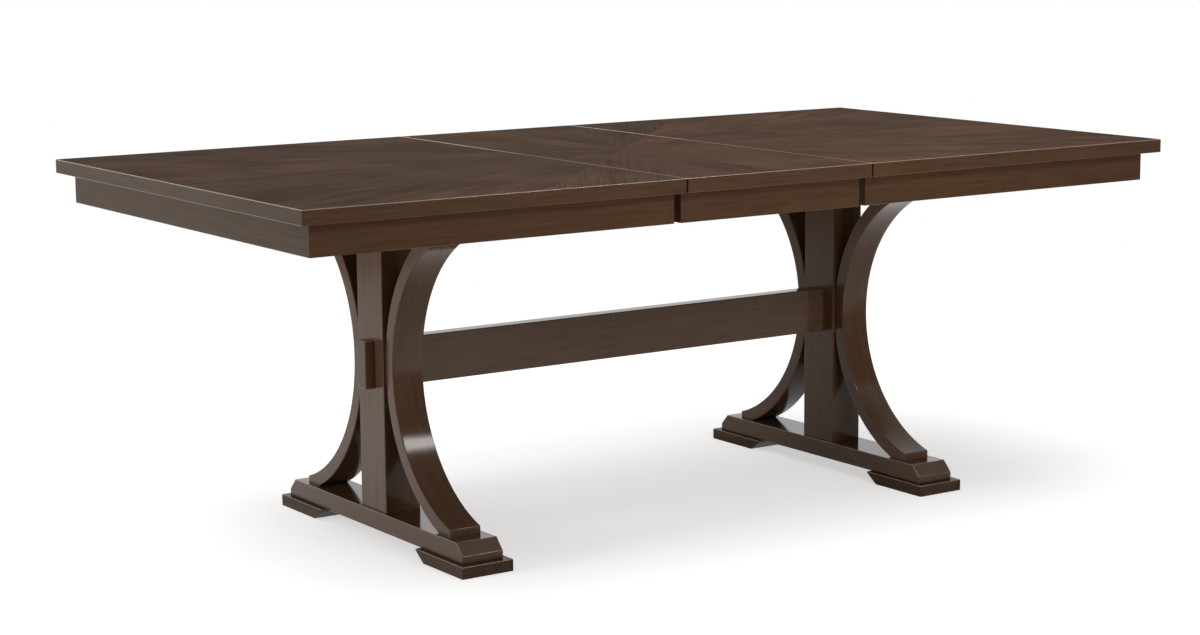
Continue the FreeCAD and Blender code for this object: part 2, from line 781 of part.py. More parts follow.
leaf_plate_screws = screws(lock_plate_thickness + screw_bite, 0)
for end in (-1, 1):
    for side in (-1, 1):
        for offset in (-plate_screw_offset, plate_screw_offset):
            screw_place = point(end * lock_pivot_x + offset, side * lock_place, plate_bottom)
            leaf_plate_screws.drive(screw_place, UP)


def four(solid):
    """A front left piece and its copies at the other three corners of the leaf."""
    front = [solid, reflected(solid, ALONG)]
    return [*front, *[reflected(piece, ACROSS) for piece in front]]


leaf_plates = four(leaf_plate.removeSplitter())
keep("leaf_lock_plates", *[bored(plate, leaf_plate_screws) for plate in leaf_plates])
for name, solid in zip(("left_front", "right_front", "left_rear", "right_rear"), four(lever())):
    keep(name + "_lock_lever", solid)
keep("leaf_lock_screws", *leaf_plate_screws.pieces())


# Leaf


def leaf_panel():
    """Leaf board, with slots open below that drop over the halves' pegs."""
    half = leaf_length / 2
    solid = box((-half, half), (-side_y, side_y), (top_under, table_height))
    solid = ease(solid, top_edge_radius, lambda edge: runs_along(edge, 0))
    joints = [edge for edge in solid.Edges if runs_along(edge, 1) and lies_at(edge, 2, table_height)]
    solid = solid.makeChamfer(joint_edge_chamfer, joints)
    room = peg_radius + peg_clearance
    depth = peg_reach - leaf_joint_gap + fit_clearance
    slots = []
    left_end = -half - overrun
    levels = (top_under - overrun, peg_level)
    for place in peg_places:
        slots.append(rod(point(left_end, place, peg_level), room, ALONG * (overrun + depth)))
        slots.append(box((left_end, depth - half), (place - room, place + room), levels))
    return solid.cut(slots + [half_turned(slot) for slot in slots])


leaf_apron = box((-leaf_apron_x, leaf_apron_x), (-apron_y, apron_thickness - apron_y),
                 (apron_bottom, top_under))
leaf_apron = ease(leaf_apron, apron_edge_radius, lambda edge: not lies_at(edge, 2, top_under))
leaf_blocks = [glue_block(x) for x in (-leaf_apron_x / 2, leaf_apron_x / 2)]
keep("leaf_panel", bored(leaf_panel(), leaf_plate_screws))
keep("leaf_front_apron", leaf_apron)
keep("leaf_rear_apron", reflected(leaf_apron, ACROSS))
keep("leaf_apron_blocks", *leaf_blocks, *[reflected(block, ACROSS) for block in leaf_blocks])

os.makedirs("parts", exist_ok=True)
for name, solids in parts.items():
    shape = solids[0] if len(solids) == 1 else Part.makeCompound(solids)
    shape.exportStep(os.path.join("parts", name + ".step"))
    print(name, len(shape.Solids), round(shape.Volume))
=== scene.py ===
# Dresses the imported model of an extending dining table: the boards of its pedestals as surfaces
# whose grain follows each board, the finishes of every piece, and a studio around it.
import json
import math

import bmesh
import bpy
import numpy as np
from bpy.props import FloatProperty, FloatVectorProperty, IntProperty, PointerProperty
from bpy.types import Operator, Panel, PropertyGroup
from mathutils import Matrix, Vector


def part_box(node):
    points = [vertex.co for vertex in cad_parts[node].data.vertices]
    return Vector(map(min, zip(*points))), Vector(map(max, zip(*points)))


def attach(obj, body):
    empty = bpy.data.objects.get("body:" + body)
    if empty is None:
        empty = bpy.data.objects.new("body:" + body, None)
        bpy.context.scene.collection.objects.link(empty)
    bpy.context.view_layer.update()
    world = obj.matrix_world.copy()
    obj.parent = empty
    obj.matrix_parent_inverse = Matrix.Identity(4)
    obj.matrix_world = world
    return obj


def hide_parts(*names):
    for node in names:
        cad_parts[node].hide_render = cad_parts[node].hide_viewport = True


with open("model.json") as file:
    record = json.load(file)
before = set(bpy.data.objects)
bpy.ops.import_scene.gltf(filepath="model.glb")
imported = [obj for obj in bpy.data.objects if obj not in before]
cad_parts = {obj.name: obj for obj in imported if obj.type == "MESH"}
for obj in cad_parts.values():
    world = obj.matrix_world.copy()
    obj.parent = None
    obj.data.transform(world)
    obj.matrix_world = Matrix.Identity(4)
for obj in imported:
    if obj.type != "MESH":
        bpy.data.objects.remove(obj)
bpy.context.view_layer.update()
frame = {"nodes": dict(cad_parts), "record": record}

bl_info = {
    "name": "Extending dining table",
    "version": (1, 0, 0),
    "blender": (4, 5, 0),
    "location": "View3D > Sidebar > Dining table",
    "description": "Builds the boards, finishes and studio of an extending dining table",
    "category": "Add Mesh",
}

# Lengths in metres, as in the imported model
POST_DEPTH = 0.102
BEAM_TOP = 0.0625
CLEAT_BOTTOM = 0.6675
BEVEL_RUN = 0.0225
BEVEL_DROP = 0.0235
PAD_UNDERCUT = 0.033
LEG_WIDTH = 0.070
LEG_THICKNESS = 0.030
LEG_SEAT_DEPTH = 0.0015
LEG_REACH = 0.294
LEG_TIP_HEIGHT = 0.015
JOINT_X = 0.23025

# The real joint is 0.5 mm wide and too thin to show, so its line is drawn at this width
JOINT_LINE = 0.0045

# Points nearer than this are one point, and an edge that turns by more than this stays sharp
MERGE_DISTANCE = 1e-6
SHARP_ANGLE = math.radians(40)

# Grain. The rings are level lines of a noise whose cells are 1.1 m long and 0.11 m wide
RING_CELLS = (0.9, 9.0, 9.0)
RING_TURNS = 46.0
RING_WEIGHT = 0.45

# Nearly all of a noise lies between the first two values. A pore starts at the first and is deepest at
# the second of the others
NOISE_SPAN = (0.3, 0.7)
PORE_SPAN = (0.46, 0.36)

# Lengths of a streak in its own widths, and the stain's share of the colour in a pore
STREAK_LENGTH = 26
VENEER_STREAK_LENGTH = 60
PORE_STAIN = 0.08
VENEER_PORE_STAIN = 0.3

# Steps in the wood from one board to the next: along the top, in the pedestals and in the legs
PLANK_SHIFT = (5.3, 7.1, 0.0)
PLANK_STEP = (1.7, 0.9, 0.4)
LEG_STEP = (1.3, 0.7, 0.5)

# Lacquer. Its mirror grows from the first to the second of these slants, 52 and 71 degrees off square
SLANTS = (0.38, 0.68)
SQUARE_MIRROR = 0.35
LACQUER_IOR = 1.5
PORE_DEPTH = 0.0001
PORE_BUMP = 0.12
PAD_FILM = 0.5

# Veneer of the top. Its figure is soft up to the first distance from the middle, and clear past the second
WEDGE_ANGLE = math.radians(22.5)
FIGURE_REACH = (0.76, 1.1)
SOFT_FIGURE = 0.4
MOTTLE_CELLS = 4.0
MOTTLE = (0.8, 1.2)

# Heights of a face's normal from which it starts and fully counts as carrying a painted highlight, as turned
# upwards and as level, and the length of a normal along X from which a face is one of an end
HIGHLIGHT_TILT = (0.1, 0.4)
UPWARD_TILT = (0.2, 0.4)
LEVEL_TILT = (0.97, 0.999)
END_FACE = 0.7

# The painted glint of a joint has this share in front, and grows to its full strength between these places in
# Y
FRONT_GLINT = 0.2
GLINT_SPAN = (0.0, 0.3)

# Camera
CAMERA_PLACE = (-3.0557, -4.4051, 1.2859)
CAMERA_TURN, CAMERA_TILT, CAMERA_ROLL = (math.radians(angle) for angle in (-34.212, 80.595, -0.387))

# Floor, which turns to even white between these two distances from the middle
FLOOR_REACH = 20.0
EVEN_WHITE_REACH = (1.3, 3.2)

# Ceiling lamp: the direction towards it, and the angle that it fills
CEILING_DIRECTION = (-0.15, 0.1, 1.0)
CEILING_WIDTH = math.radians(60)

# Square lamps: name, setting of the power, place, target, size, and whether they are only mirrored
LAMPS = (("Side lamp", "side", (-3.4, 0.2, 0.6), (-0.6, 0.0, 0.4), (0.8, 0.6), False),
         ("Front lamp", "front", (0.2, -2.9, 2.0), (0.0, 0.0, 0.6), (1.5, 0.4), False),
         ("Low lamp", "low", (0.3, -2.3, 0.1), (-0.4, -0.2, 0.5), (1.4, 0.2), False),
         ("Strip lamp", "strip", (1.2, -2.1, 2.5), (-0.58, -0.1, 0.3), (1.1, 0.65), True))

# Cloths, which only the lacquer mirrors: outlines on the floor, and a drape on an arc in degrees
CLOTH_LIFT = 0.004
FRONT_CLOTH = ((-1.0, -0.95), (0.1, -1.55), (0.75, -2.5), (2.45, -2.5), (1.5, -1.1), (1.9, -0.17), (7.5, 5.0),
               (8.0, -8.0), (-8.0, -8.0), (-8.0, -2.1))
REAR_CLOTH = ((-8.0, 3.2), (-0.6, 3.2), (1.5, 9.0), (-8.0, 9.0))
DRAPE_RADIUS = 6.5
DRAPE_HEIGHT = 4.6
DRAPE_TURN = (-165, 10)
DRAPE_STEPS = 35


def linear(code):
    """Linear red, green and blue of an sRGB hex value, each by the standard's two-part curve."""
    shares = np.array([int(code[k:k + 2], 16) for k in (1, 3, 5)]) / 255
    return tuple(np.where(shares <= 0.04045, shares / 12.92, ((shares + 0.055) / 1.055) ** 2.4).tolist())


def colour(name, description, code):
    """A colour setting whose default is an sRGB hex value."""
    return FloatVectorProperty(name=name, description=description, subtype="COLOR", size=3, min=0, max=1,
                               default=linear(code))


def length(name, description, default):
    """A length setting in metres."""
    return FloatProperty(name=name, description=description, default=default, min=0, unit="LENGTH",
                         precision=4)


def power(name, description, default):
    """A lamp's setting in watts."""
    return FloatProperty(name=name, description=description, default=default, min=0, unit="POWER")


def strength(name, description, default):
    """A setting for a light that has no power of its own."""
    return FloatProperty(name=name, description=description, default=default, min=0)


class WoodSettings(PropertyGroup):
    pores: colour("Pores", "Stain gathered in the open pores", "#2A1B12")
    early_wood: colour("Early wood", "Stained wood between the darker rings", "#5C4534")
    late_wood: colour("Late wood", "Stained wood of the darker rings", "#513C2D")
    # Painted shade: the end boards' greyer colours dim the faces at the ends, which the side lamp lights more
    shaded_end_early: colour("End board, early wood", "Stained wood of the end boards, greyer", "#56493F")
    shaded_end_late: colour("End board, late wood", "Darker rings of the end boards", "#4D4239")
    pad_wood: colour("Pads, late wood", "Darker rings of the foot pads", "#33251C")
    veneer_warm: colour("Warm veneer", "Leaves of veneer with a warm tone", "#725743")
    veneer_grey: colour("Grey veneer", "Leaves of veneer with a cool tone", "#5B4C41")
    veneer_late: colour("Veneer, late wood", "Darker rings of the veneer", "#4F3C2F")
    # Painted highlight: the pale line on edges that face up stands for the lacquer's gleam
    arris: colour("Arris", "Edges where the stain is rubbed thin and the lacquer gleams", "#95877A")
    # Painted highlight: the glint along the joints of the top
    joint_glint: colour("Joint glint", "Rim of the lacquer along the joints of the top", "#E8DED2")
    slide_wood: colour("Slide wood", "Planed hardwood of the slides", "#C9A06F")
    slide_late: colour("Slide wood, late wood", "Darker rings of the slides", "#A87F52")
    block_wood: colour("Block wood", "Sawn softwood of the glue blocks", "#D6B27E")
    block_late: colour("Block wood, late wood", "Darker rings of the glue blocks", "#B58E59")
    streak_width: length("Streak width", "Width of a streak of grain", 0.004)
    gloss: FloatProperty(name="Lacquer roughness", description="Roughness of the clear coat", default=0.13,
                         min=0, max=1, subtype="FACTOR")
    top_sheen: FloatProperty(name="Top sheen", description="Share of the clear coat's mirror left on the top",
                             default=0.024, min=0, max=1, subtype="FACTOR")


class BoardSettings(PropertyGroup):
    eased_edge: length("Eased edge", "Radius of the boards' long edges", 0.0018)
    leg_edge: length("Leg edge", "Radius of the legs' edges", 0.0022)
    edge_steps: IntProperty(name="Edge steps", description="Faces across a rounded edge", default=4, min=2)
    leg_steps: IntProperty(name="Leg steps", description="Faces along a leg's curve", default=96, min=24)


class StudioSettings(PropertyGroup):
    ceiling: strength("Ceiling light", "Light on the floor from the wide ceiling lamp", 1.5)
    side: power("Side lamp", "Power of the soft lamp at the rear left", 34.0)
    front: power("Front lamp", "Power of the soft lamp in front", 19.0)
    low: power("Low lamp", "Power of the soft lamp near the floor in front", 9.0)
    strip: power("Strip lamp", "Power of the strip lamp that glints on the legs", 60.0)
    surround: strength("Surround", "Strength of the room's own light", 0.2)
    floor: colour("Floor", "Matt white studio floor", "#F1F1F1")
    floor_bounce: colour("Floor bounce", "Tone of the floor as it lights the table from below", "#D5CEC5")
    glow: strength("Floor glow", "Even light that the camera sees on the floor", 0.53)
    black_cloth: colour("Black cloth", "Cloth laid out of sight in front and to the right", "#2B2927")
    grey_cloth: colour("Grey cloth", "Cloth laid out of sight at the rear left", "#B4B2AE")
    focal_length: FloatProperty(name="Focal length", description="Lens of the camera", default=75.602,
                                min=1, unit="CAMERA")


# Meshes


def merged(name, points, faces, grain, edge):
    """A mesh object from a grid of points, with its doubles merged, its arrises shaded round and its
    long faces flat. grain holds each point's place in its board, along the grain first, and edge is one
    in the middle of a rounded edge and zero on the faces beside it."""
    mesh = bpy.data.meshes.new(name)
    mesh.from_pydata(points, [], faces)
    place = mesh.attributes.new("grain", "FLOAT_VECTOR", "POINT")
    place.data.foreach_set("vector", np.ascontiguousarray(grain, np.float32).ravel())
    painted_highlight_edge = mesh.attributes.new("edge", "FLOAT", "POINT")
    painted_highlight_edge.data.foreach_set("value", np.ascontiguousarray(edge, np.float32).ravel())
    shell = bmesh.new()
    shell.from_mesh(mesh)
    bmesh.ops.remove_doubles(shell, verts=shell.verts, dist=MERGE_DISTANCE)
    bmesh.ops.recalc_face_normals(shell, faces=shell.faces)
    shell.to_mesh(mesh)
    shell.free()
    mesh.shade_smooth()
    mesh.set_sharp_from_angle(angle=SHARP_ANGLE)
    piece = bpy.data.objects.new(name, mesh)
    bpy.context.scene.collection.objects.link(piece)
    weighted = piece.modifiers.new("Flat faces", "WEIGHTED_NORMAL")
    weighted.keep_sharp = True
    weighted.weight = 100
    return piece


def lattice(rows, columns):
    """Faces of a grid of points whose columns close on themselves, with a lid on its first and last row."""
    row, column = np.meshgrid(np.arange(rows - 1), np.arange(columns), indexing="ij")
    beside = (column + 1) % columns
    quads = np.stack([row * columns + column, row * columns + beside,
                      (row + 1) * columns + beside, (row + 1) * columns + column], axis=-1)
    lids = [list(range(columns))[::-1], list(range((rows - 1) * columns, rows * columns))]
    return quads.reshape(-1, 4).tolist() + lids


def eased_prism(outline, span, settings, eased_ends=(True, True)):
    """Grid of a prism with rounded edges: each point is a corner of a smaller prism plus the radius
    times a direction. The directions turn about the prism's length, and tilt towards each eased end.
    The outline is convex and turns to the left. Returns rows of points in the outline's two axes and
    along the length, and how far into a rounded edge each lies: the sine of its share of the turn."""
    radius, steps = settings.eased_edge, settings.edge_steps
    profile = np.asarray(outline, float)
    sides = np.roll(profile, -1, axis=0) - profile
    sides /= np.linalg.norm(sides, axis=1, keepdims=True)
    outward = np.stack([sides[:, 1], -sides[:, 0]], axis=1)
    before = np.roll(outward, 1, axis=0)
    inner = profile - radius * (before + outward) / (1 + np.sum(before * outward, axis=1, keepdims=True))
    start = np.arctan2(before[:, 1], before[:, 0])
    turn = (np.arctan2(outward[:, 1], outward[:, 0]) - start) % (2 * np.pi)
    share = np.linspace(0, 1, steps + 1)
    angle = start[:, None] + turn[:, None] * share
    around = np.stack([np.cos(angle), np.sin(angle)], axis=-1).reshape(-1, 2)
    hub = np.repeat(inner, steps + 1, axis=0)
    quarter = share * np.pi / 2
    low = -quarter[::-1] if eased_ends[0] else np.zeros(1)
    high = quarter if eased_ends[1] else np.zeros(1)
    tilt = np.concatenate([low, high])
    middle = np.concatenate([np.full(len(low), span[0] + radius * eased_ends[0]),
                             np.full(len(high), span[1] - radius * eased_ends[1])])
    flat = hub[None] + radius * np.cos(tilt)[:, None, None] * around[None]
    level = np.repeat((middle + radius * np.sin(tilt))[:, None], len(hub), axis=1)
    long_edges = np.tile(np.sin(np.pi * share), len(profile))[None] * np.cos(tilt)[:, None]
    edge = np.maximum(long_edges, np.sin(2 * np.abs(tilt))[:, None])
    return np.concatenate([flat, level[..., None]], axis=-1), edge


def numbers(axes):
    """Numbers of named axes."""
    return ["XYZ".index(axis) for axis in axes]


def corners(node, axes):
    """A node's lowest and highest corner as plain tuples, with their values in the order of the axes."""
    return [tuple(corner[axis] for axis in numbers(axes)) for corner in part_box(node)]


def board(name, prism, axes, grain_axis, plank):
    """A straight board: a prism whose three values go on the named axes. Its grain runs along one of them,
    and each plank starts at another place in the wood."""
    grid, edge = prism
    points = np.empty((edge.size, 3))
    points[:, numbers(axes)] = grid.reshape(-1, 3)
    place = points[:, numbers(grain_axis + "XYZ".replace(grain_axis, ""))] + plank * np.array(PLANK_STEP)
    return merged(name, points, lattice(*edge.shape), place, edge)


def oblong(low, high):
    """Outline of a box between two corners."""
    return [(low[0], low[1]), (high[0], low[1]), (high[0], high[1]), (low[0], high[1])]


def beam_outline(low, high):
    """Outline of a foot beam between two corners, with bevels at the ends of its upper face."""
    flat, shoulder = high[0] - BEVEL_RUN, high[1] - BEVEL_DROP
    return [(low[0], low[1]), (high[0], low[1]), (high[0], shoulder), (flat, high[1]), (-flat, high[1]),
            (low[0], shoulder)]


def cleat_outline(low, high):
    """Outline of a top cleat between two corners, with bevels at the ends of its lower face."""
    flat, shoulder = high[0] - BEVEL_RUN, low[1] + BEVEL_DROP
    return [(-flat, low[1]), (flat, low[1]), (high[0], shoulder), (high[0], high[1]), (low[0], high[1]),
            (low[0], shoulder)]


def pad_prism(low, high, settings):
    """Prism of a foot pad between two corners: its inner end slopes in towards the floor, and all its edges
    but the lowest are rounded. For that the outline is sunk by the radius, its slope carried on, and what
    lies under the floor is raised to it."""
    outer, inner = sorted((low[0], high[0]), key=abs, reverse=True)
    sunk = low[1] - settings.eased_edge
    run = PAD_UNDERCUT * (high[1] - sunk) / (high[1] - low[1])
    under = inner + math.copysign(run, outer)
    outline = [(outer, sunk), (under, sunk), (inner, high[1]), (outer, high[1])]
    grid, edge = eased_prism(outline if outer < 0 else outline[::-1], (low[2], high[2]), settings)
    grid[..., 1] = np.maximum(grid[..., 1], low[1])
    return grid, edge


def leg_grid(settings):
    """Grid of a front leg's upper half and lower half in one, with its middle level and middle width at zero.

    Each station runs across the leg at one place along its curve. The hollow face is an upright tip, a
    turn round the arris, an arc, and the same again in reverse. The back is an arc about the same centre,
    cut flat where it meets the post. Each edge is a ball rolled along it: the face moves inwards by the
    radius times one minus the cosine of the turn, while the width grows by the radius times its sine."""
    radius, steps = settings.leg_edge, settings.edge_steps
    half_height = (CLEAT_BOTTOM - BEAM_TOP) / 2
    face_y = LEG_SEAT_DEPTH - POST_DEPTH / 2 - LEG_THICKNESS
    rise, hollow = half_height - LEG_TIP_HEIGHT, LEG_REACH + face_y
    arc = (rise ** 2 + hollow ** 2) / (2 * hollow)
    centre = face_y - arc
    arris_y = radius - LEG_REACH
    arris_z = math.sqrt((arc + radius) ** 2 - (arris_y - centre) ** 2)
    meet = math.atan2(arris_z, arris_y - centre)

    arris = np.linspace(np.pi, np.pi - meet, steps + 1)
    lower = np.stack([arris_y + radius * np.cos(arris), radius * np.sin(arris) - arris_z], axis=1)
    curve = np.linspace(-meet, meet, settings.leg_steps + 1)[1:-1]
    middle = np.stack([centre + arc * np.cos(curve), arc * np.sin(curve)], axis=1)
    tip = np.array([[-LEG_REACH, -half_height]])
    flip = np.array([1, -1])
    face = np.concatenate([tip, lower, middle, lower[::-1] * flip, tip * flip])
    lower_out = np.stack([np.cos(arris), np.sin(arris)], axis=1)
    level_out = np.array([[-1.0, 0.0]])
    outward = np.concatenate([level_out, lower_out, -np.stack([np.cos(curve), np.sin(curve)], axis=1),
                              lower_out[::-1] * flip, level_out])

    quarter = np.linspace(0, np.pi / 2, steps + 1)
    turn = np.concatenate([-quarter[::-1], quarter])
    inset = radius * (1 - np.cos(turn))
    across = np.sign(np.arange(len(turn)) - steps - 0.5) * (LEG_WIDTH / 2 - radius) + radius * np.sin(turn)
    front = face[:, None] - outward[:, None] * inset[None, :, None]
    back_z = np.repeat(face[:, 1][:, None], len(turn), axis=1)
    back_y = centre + np.sqrt((arc + LEG_THICKNESS - inset) ** 2 - back_z ** 2)
    back = np.stack([np.minimum(back_y, -POST_DEPTH / 2), back_z], axis=-1)
    loop = np.concatenate([front, back[:, ::-1]], axis=1)
    width = np.broadcast_to(np.concatenate([across, across[::-1]]), loop.shape[:2])
    grid = np.concatenate([width[..., None], loop], axis=-1)
    spoke = loop - np.array([centre, 0])
    swing = np.arctan2(spoke[..., 1], spoke[..., 0])
    grain = np.stack([swing * arc, width, np.hypot(spoke[..., 0], spoke[..., 1])], axis=-1)
    return grid.reshape(-1, 3), grain.reshape(-1, 3), lattice(*grid.shape[:2])


def finished(piece, node, body, material):
    """Puts a piece in a node's place on its body, with its finish."""
    piece.data.materials.append(material)
    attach(piece, body)
    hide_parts(node)


# Materials


def add(tree, kind, inputs=None, stops=(), **settings):
    """Adds a shader node with its settings and the stops of its ramp, and gives each input a value or a
    link. An input is named by its number, or by its name among those that the settings leave in use. A
    node as a value stands for its first output in use, and a colour needs no alpha."""
    made = tree.nodes.new("ShaderNode" + kind)
    for key, value in settings.items():
        setattr(made, key, value)
    for key, value in (inputs or {}).items():
        if isinstance(key, int):
            socket = made.inputs[key]
        else:
            socket = next(entry for entry in made.inputs if entry.name == key and entry.enabled)
        if isinstance(value, bpy.types.Node):
            value = next(entry for entry in value.outputs if entry.enabled)
        if isinstance(value, bpy.types.NodeSocket):
            tree.links.new(value, socket)
        elif socket.type == "RGBA":
            socket.default_value = (*value[:3], 1.0)
        else:
            socket.default_value = value
    for stop, (position, shade) in zip(made.color_ramp.elements if stops else (), stops):
        stop.position = position
        stop.color = (*shade, 1.0)
    return made


def shaded(name):
    """A new material's tree, still empty."""
    material = bpy.data.materials.new(name)
    material.use_nodes = True
    tree = material.node_tree
    tree.nodes.clear()
    return material, tree


def wood_colour(tree, along, settings, early, late, stain, stretch):
    """Colour and pore depth of an open-grained wood, from a vector whose first value runs along the grain.

    Broad rings are level lines of a noise that is stretched along the grain, about 25 mm apart. Streaks
    are a finer noise stretched the same way. Pores are the deepest of the streaks. Real pores are 0.3 mm
    wide and too fine to show from here, so the streaks are drawn at the width that the settings give, and
    each is as many times as long as stretch says. stain is its share of the colour in the pores."""
    per_metre = 1 / settings.streak_width
    broad = add(tree, "VectorMath", {0: along, 1: RING_CELLS}, operation="MULTIPLY")
    swell = add(tree, "TexNoise", {"Vector": broad, "Scale": 1.0, "Detail": 3.0, "Roughness": 0.55,
                                   "Distortion": 0.35})
    wave = add(tree, "Math", {0: swell, 1: RING_TURNS}, operation="MULTIPLY")
    ring = add(tree, "Math", {0: wave}, operation="SINE")
    rings = add(tree, "MapRange", {"Value": ring, "From Min": -1.0, "From Max": 1.0})
    fine = add(tree, "VectorMath", {0: along, 1: (per_metre / stretch, per_metre, per_metre)},
               operation="MULTIPLY")
    streak = add(tree, "TexNoise", {"Vector": fine, "Scale": 1.0, "Detail": 2.0, "Roughness": 0.6})
    tone = add(tree, "MapRange", {"Value": streak, "From Min": NOISE_SPAN[0], "From Max": NOISE_SPAN[1]})
    figure = add(tree, "Math", {0: rings, 1: RING_WEIGHT, 2: tone}, operation="MULTIPLY_ADD")
    share = add(tree, "Math", {0: figure, 1: 1 / (1 + RING_WEIGHT)}, operation="MULTIPLY", use_clamp=True)
    wood = add(tree, "Mix", {"Factor": share, "A": late, "B": early}, data_type="RGBA")
    pore = add(tree, "MapRange", {"Value": streak, "From Min": PORE_SPAN[0], "From Max": PORE_SPAN[1]})
    stained = add(tree, "Math", {0: pore, 1: stain}, operation="MULTIPLY")
    return add(tree, "Mix", {"Factor": stained, "A": wood, "B": settings.pores}, data_type="RGBA"), pore


def lacquer(tree, wood, pore, gloss, film=1.0):
    """Stain under a clear film. The thin film sinks into the wood, so it mirrors weakly where it is looked
    at squarely, and fully at a slant, where the tops of the beams turn nearly white."""
    slant = add(tree, "LayerWeight", {"Blend": 0.5}).outputs["Facing"]
    mirror = add(tree, "MapRange", {"Value": slant, "From Min": SLANTS[0], "From Max": SLANTS[1],
                                    "To Min": SQUARE_MIRROR, "To Max": 1.0})
    coat = add(tree, "Math", {0: mirror, 1: film}, operation="MULTIPLY")
    sunk = add(tree, "Bump", {"Strength": PORE_BUMP, "Distance": PORE_DEPTH, "Height": pore}, invert=True)
    shader = add(tree, "BsdfPrincipled", {
        "Base Color": wood, "Roughness": 0.6, "Specular IOR Level": 0.0, "Coat Weight": coat,
        "Coat Roughness": gloss, "Coat IOR": LACQUER_IOR, "Normal": sunk, "Coat Normal": sunk})
    add(tree, "OutputMaterial", {"Surface": shader})


def plank_place(tree, grain_axis):
    """Object coordinates with the grain first, moved on by a few metres past each joint of the top, so
    that the boards on either side of a joint come from other planks."""
    place = add(tree, "TexCoord").outputs["Object"]
    x = add(tree, "SeparateXYZ", {0: place}).outputs["X"]
    left = add(tree, "Math", {0: x, 1: -JOINT_X}, operation="LESS_THAN")
    right = add(tree, "Math", {0: x, 1: JOINT_X}, operation="GREATER_THAN")
    plank = add(tree, "CombineXYZ", {"X": left, "Y": right})
    shift = add(tree, "VectorMath", {0: plank, 1: PLANK_SHIFT}, operation="MULTIPLY")
    quarter_turn = -math.pi / 2 if grain_axis == "Y" else 0.0
    turned = add(tree, "Mapping", {"Vector": place, "Rotation": (0.0, 0.0, quarter_turn)})
    return add(tree, "VectorMath", {0: turned, 1: shift}, operation="ADD")


def turned_up(tree, limits):
    """How far a face is turned upwards, from none at the first to one at the second of two heights that
    its normal reaches."""
    normal = add(tree, "SeparateXYZ", {0: add(tree, "NewGeometry").outputs["Normal"]})
    return add(tree, "MapRange", {"Value": normal.outputs["Z"], "From Min": limits[0], "From Max": limits[1]})


def long_board(name, settings, grain_axis):
    """Open-grained hardwood, wiped with a dark walnut stain and sprayed with lacquer. The stain gathers in
    the pores as short dark lines, and the film mirrors the studio on upright faces. The boards across
    the ends of the top are greyer than those along it, as painted shade on the faces at the ends."""
    material, tree = shaded(name)
    early, late = settings.early_wood, settings.late_wood
    if grain_axis == "Y":
        early, late = settings.shaded_end_early, settings.shaded_end_late
    wood, pore = wood_colour(tree, plank_place(tree, grain_axis), settings, early, late, PORE_STAIN,
                             STREAK_LENGTH)
    lacquer(tree, wood, pore, settings.gloss)
    return material


def pedestal_board(name, settings, early, late, film=1.0):
    """The same stained and lacquered hardwood, with its grain along each board. Where an edge faces up, a
    pale line is painted on as a highlight of the lacquer. film is the share of the lacquer that is left: the
    foot pads are stained dark and sprayed thinly, so they look duller."""
    material, tree = shaded(name)
    along = add(tree, "Attribute", attribute_name="grain").outputs["Vector"]
    wood, pore = wood_colour(tree, along, settings, early, late, PORE_STAIN, STREAK_LENGTH)
    edge = add(tree, "Attribute", attribute_name="edge").outputs["Fac"]
    # Painted highlight: a pale line on rounded edges that face up
    painted_highlight_edge = add(tree, "Math", {0: edge, 1: turned_up(tree, HIGHLIGHT_TILT)}, operation="MULTIPLY")
    wood = add(tree, "Mix", {"Factor": painted_highlight_edge, "A": wood, "B": settings.arris}, data_type="RGBA")
    lacquer(tree, wood, pore, settings.gloss, film)
    return material


def leaves(tree, place, settings):
    """Colour and pore depth of the veneer's leaves, a sunburst about the table's middle: each wedge has its
    grain along its own middle line, and a tone of its own. Near the middle the figure is softer."""
    parts = add(tree, "SeparateXYZ", {0: place})
    bearing = add(tree, "Math", {0: parts.outputs["Y"], 1: parts.outputs["X"]}, operation="ARCTAN2")
    wedge = add(tree, "Math", {0: bearing, 1: WEDGE_ANGLE}, operation="DIVIDE")
    number = add(tree, "Math", {0: wedge}, operation="FLOOR")
    middle = add(tree, "Math", {0: number, 1: -WEDGE_ANGLE, 2: -WEDGE_ANGLE / 2}, operation="MULTIPLY_ADD")
    turned = add(tree, "VectorRotate", {"Vector": place, "Angle": middle}, rotation_type="Z_AXIS")
    shift = add(tree, "CombineXYZ", {"X": number, "Z": number})
    along = add(tree, "VectorMath", {0: turned, 1: shift}, operation="ADD")
    chance = add(tree, "TexWhiteNoise", {"W": number}, noise_dimensions="1D").outputs["Value"]
    early = add(tree, "Mix", {"Factor": chance, "A": settings.veneer_warm, "B": settings.veneer_grey},
                data_type="RGBA")
    late = settings.veneer_late
    wood, pore = wood_colour(tree, along, settings, early, late, VENEER_PORE_STAIN, VENEER_STREAK_LENGTH)
    reach = add(tree, "VectorMath", {0: place}, operation="LENGTH")
    clear = add(tree, "MapRange", {"Value": reach, "From Min": FIGURE_REACH[0], "From Max": FIGURE_REACH[1],
                                   "To Min": SOFT_FIGURE, "To Max": 1.0})
    even = add(tree, "Mix", {"Factor": 0.5, "A": early, "B": late}, data_type="RGBA")
    wood = add(tree, "Mix", {"Factor": clear, "A": even, "B": wood}, data_type="RGBA")
    patch = add(tree, "TexNoise", {"Vector": along, "Scale": MOTTLE_CELLS, "Detail": 2.0})
    mottle = add(tree, "MapRange", {"Value": patch, "From Min": NOISE_SPAN[0], "From Max": NOISE_SPAN[1],
                                    "To Min": MOTTLE[0], "To Max": MOTTLE[1]})
    return add(tree, "VectorMath", {0: wood, "Scale": mottle}, operation="SCALE"), pore


